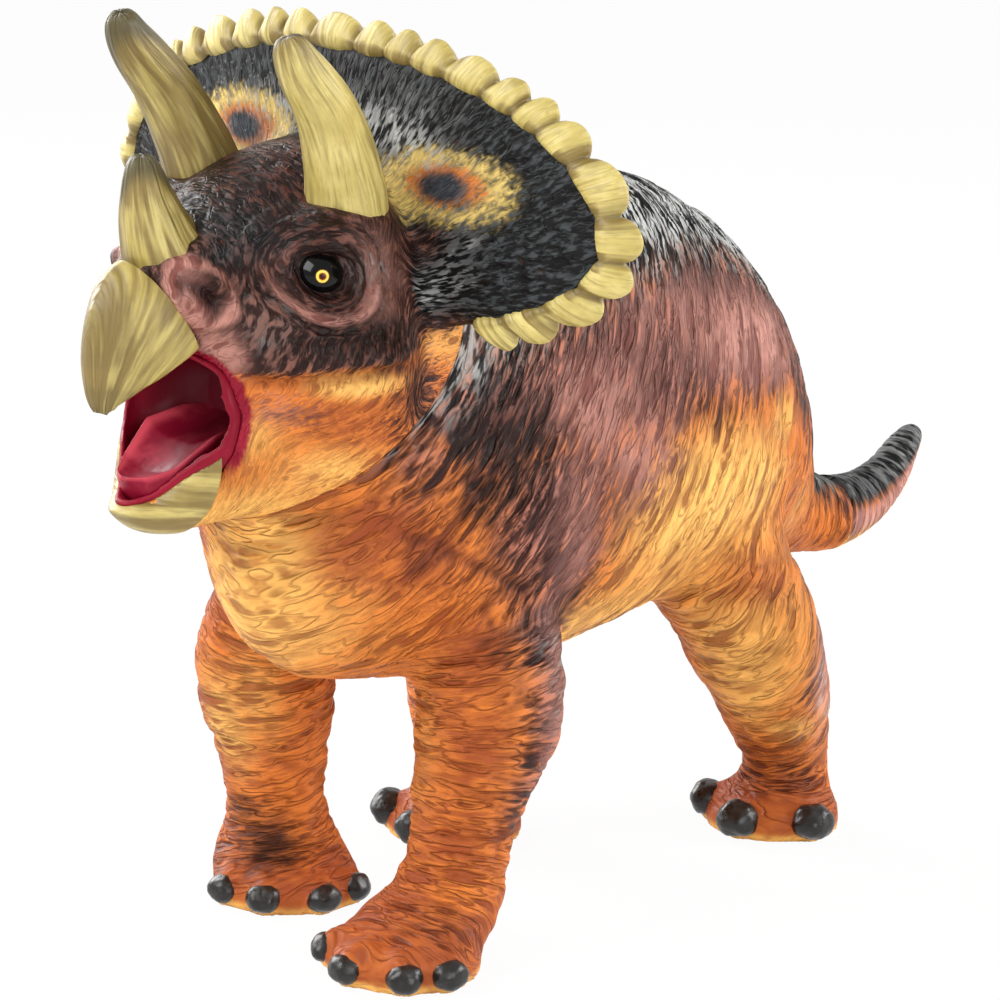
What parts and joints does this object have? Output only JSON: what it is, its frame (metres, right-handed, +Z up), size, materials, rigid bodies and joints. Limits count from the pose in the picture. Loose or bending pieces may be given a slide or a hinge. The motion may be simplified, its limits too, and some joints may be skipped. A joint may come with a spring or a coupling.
{
  "type": "toy dinosaur figure",
  "caption": "Standing horned dinosaur toy with a scalloped frill and an open beaked mouth; head and tail turn on plugs snapped into the hollow vinyl body.",
  "frame": {"origin": "on the floor under the middle of the figure's box", "axes": "+Z up, +Y along the body from head to tail, +X the figure's own left side"},
  "size_m": [0.1556, 0.278, 0.1936],
  "materials": {
    "body_vinyl": "satin moulded vinyl, hand painted",
    "head_vinyl": "satin moulded vinyl, hand painted",
    "tail_vinyl": "satin moulded vinyl, hand painted",
    "horn_vinyl": "satin moulded vinyl, streaked",
    "mouth_vinyl": "gloss",
    "tongue_vinyl": "gloss",
    "eye_gloss": "high gloss",
    "claw_gloss": "gloss"
  },
  "bodies": {
    "body": {"body_shell": "body_vinyl", "claw_front_left_1": "claw_gloss", "claw_front_left_2": "claw_gloss", "claw_front_left_3": "claw_gloss", "claw_front_left_4": "claw_gloss", "claw_front_right_1": "claw_gloss", "claw_front_right_2": "claw_gloss", "claw_front_right_3": "claw_gloss", "claw_front_right_4": "claw_gloss", "claw_hind_left_1": "claw_gloss", "claw_hind_left_2": "claw_gloss", "claw_hind_left_3": "claw_gloss", "claw_hind_right_1": "claw_gloss", "claw_hind_right_2": "claw_gloss", "claw_hind_right_3": "claw_gloss"},
    "tail": {"tail_shell": "tail_vinyl"},
    "head": {"head_shell": "head_vinyl", "frill_edging": "horn_vinyl", "nose_horn": "horn_vinyl", "brow_horn_right": "horn_vinyl", "brow_horn_left": "horn_vinyl", "upper_beak": "horn_vinyl", "lower_beak": "horn_vinyl", "mouth_lining": "mouth_vinyl", "tongue": "tongue_vinyl", "eye_right": "eye_gloss", "eye_left": "eye_gloss"}
  },
  "joints": [
    {"name": "neck_swivel", "type": "hinge", "parent": "body", "child": "head", "pos_m": [-0.00151, -0.08041, 0.119], "axis": [-0.1021, -0.6997, 0.7071], "continuous": true},
    {"name": "tail_swivel", "type": "hinge", "parent": "body", "child": "tail", "pos_m": [0.00519, 0.10159, 0.0625], "axis": [0, 1, 0], "continuous": true}
  ]
}
